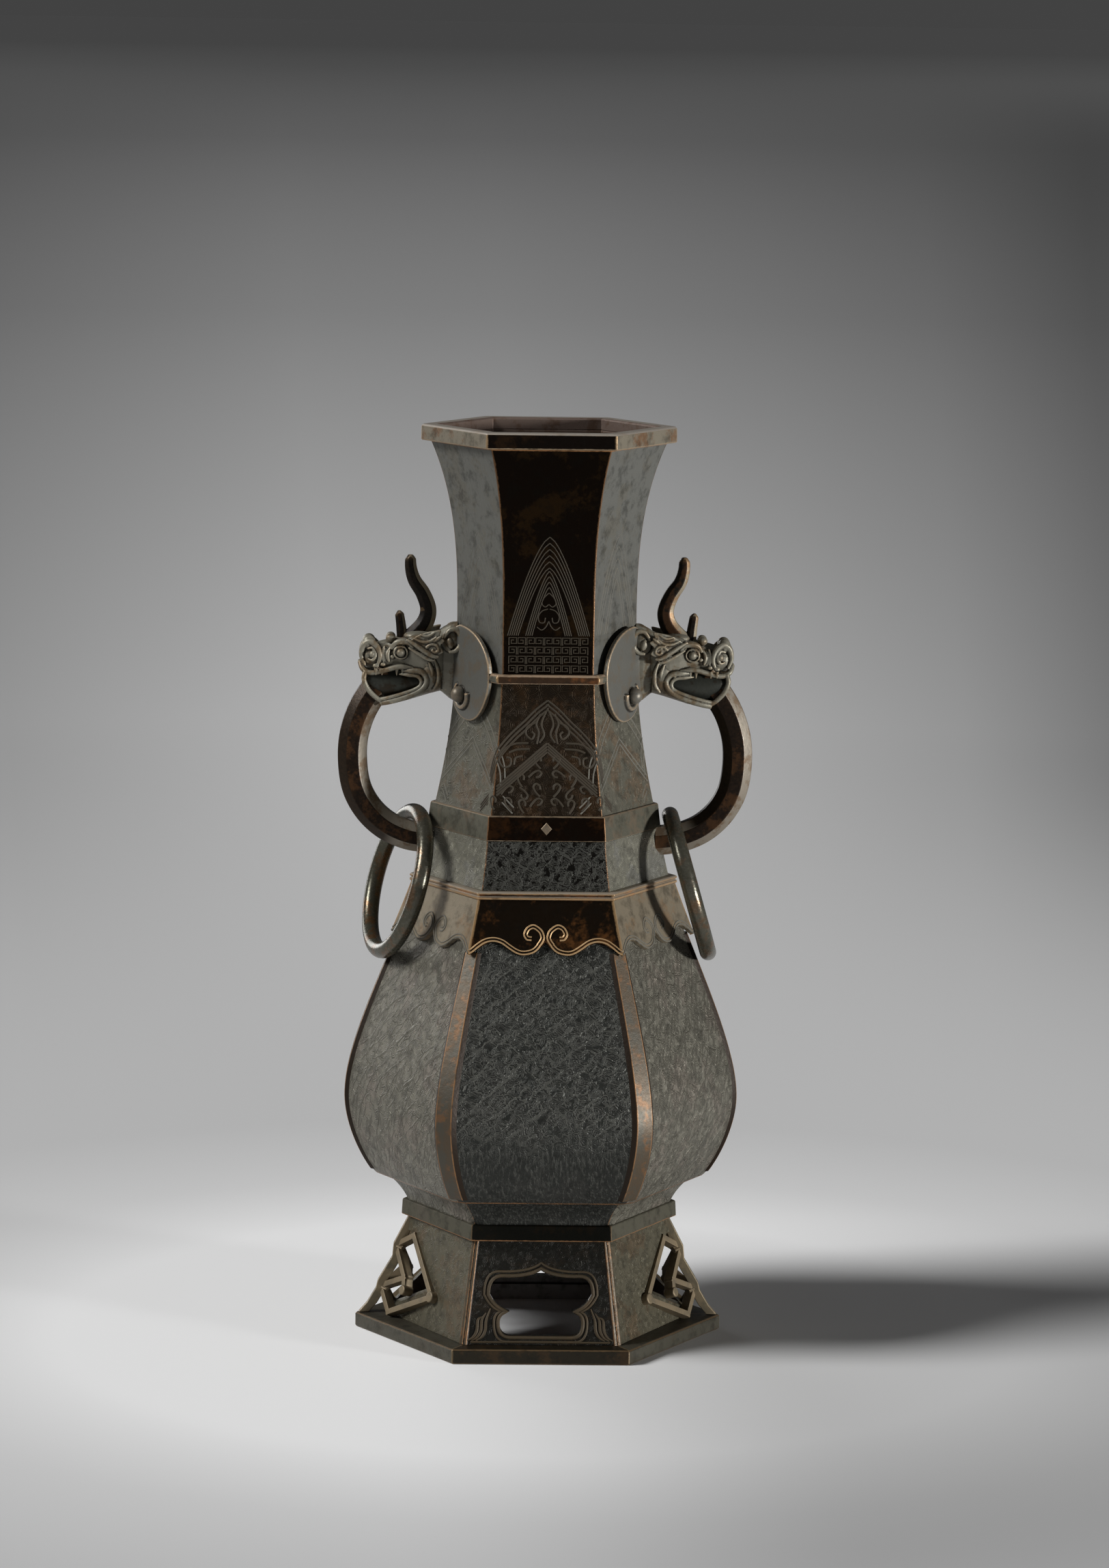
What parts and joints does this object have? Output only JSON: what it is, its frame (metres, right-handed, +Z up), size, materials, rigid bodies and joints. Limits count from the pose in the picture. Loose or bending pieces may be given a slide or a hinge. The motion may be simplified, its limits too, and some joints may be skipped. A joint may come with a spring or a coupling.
{
  "type": "baluster vase",
  "caption": "Hexagonal baluster vase in cast bronze with a lobed-window foot, a swelling belly, a flared neck, dragon-headed handles and loose rings",
  "frame": {"origin": "middle of the base, on the surface that the vase stands on", "axes": "+Z up along the middle line, +X towards the right handle, -Y towards the viewer of the front face"},
  "size_m": [0.2034, 0.1726, 0.45],
  "materials": {
    "dark_bronze": "dark patina, satin",
    "grey_bronze": "grey-green patina, satin",
    "brown_bronze": "brown patina, half gloss",
    "lip_bronze": "worn bronze, satin",
    "ring_bronze": "handled bronze, glossy"
  },
  "bodies": {
    "vase": {"base_plate": "grey_bronze", "foot_wall": "dark_bronze", "waist_flange": "grey_bronze", "belly": "dark_bronze", "belly_floor": "dark_bronze", "lappet_collar": "brown_bronze", "shoulder_ledge": "lip_bronze", "shoulder": "dark_bronze", "neck_band": "brown_bronze", "lower_neck": "dark_bronze", "neck_string": "lip_bronze", "upper_neck": "grey_bronze", "mouth_rim": "lip_bronze", "corner_fret_right": "grey_bronze", "handle_loop_right": "brown_bronze", "dragon_head_right": "brown_bronze", "dragon_horn_right": "brown_bronze", "ruff_right_front": "grey_bronze", "ruff_right_back": "grey_bronze", "corner_fret_left": "grey_bronze", "handle_loop_left": "brown_bronze", "dragon_head_left": "brown_bronze", "dragon_horn_left": "brown_bronze", "ruff_left_front": "grey_bronze", "ruff_left_back": "grey_bronze"},
    "ring_right": {"ring_right": "ring_bronze"},
    "ring_left": {"ring_left": "ring_bronze"}
  },
  "joints": [
    {"name": "ring_right_swing", "type": "hinge", "parent": "vase", "child": "ring_right", "pos_m": [0.062, 0, 0.2584], "axis": [0, -1, 0], "range_deg": [0, 120]},
    {"name": "ring_left_swing", "type": "hinge", "parent": "vase", "child": "ring_left", "pos_m": [-0.062, 0, 0.2584], "axis": [-0.2648, 0.9613, 0.0767], "range_deg": [0, 120]}
  ]
}
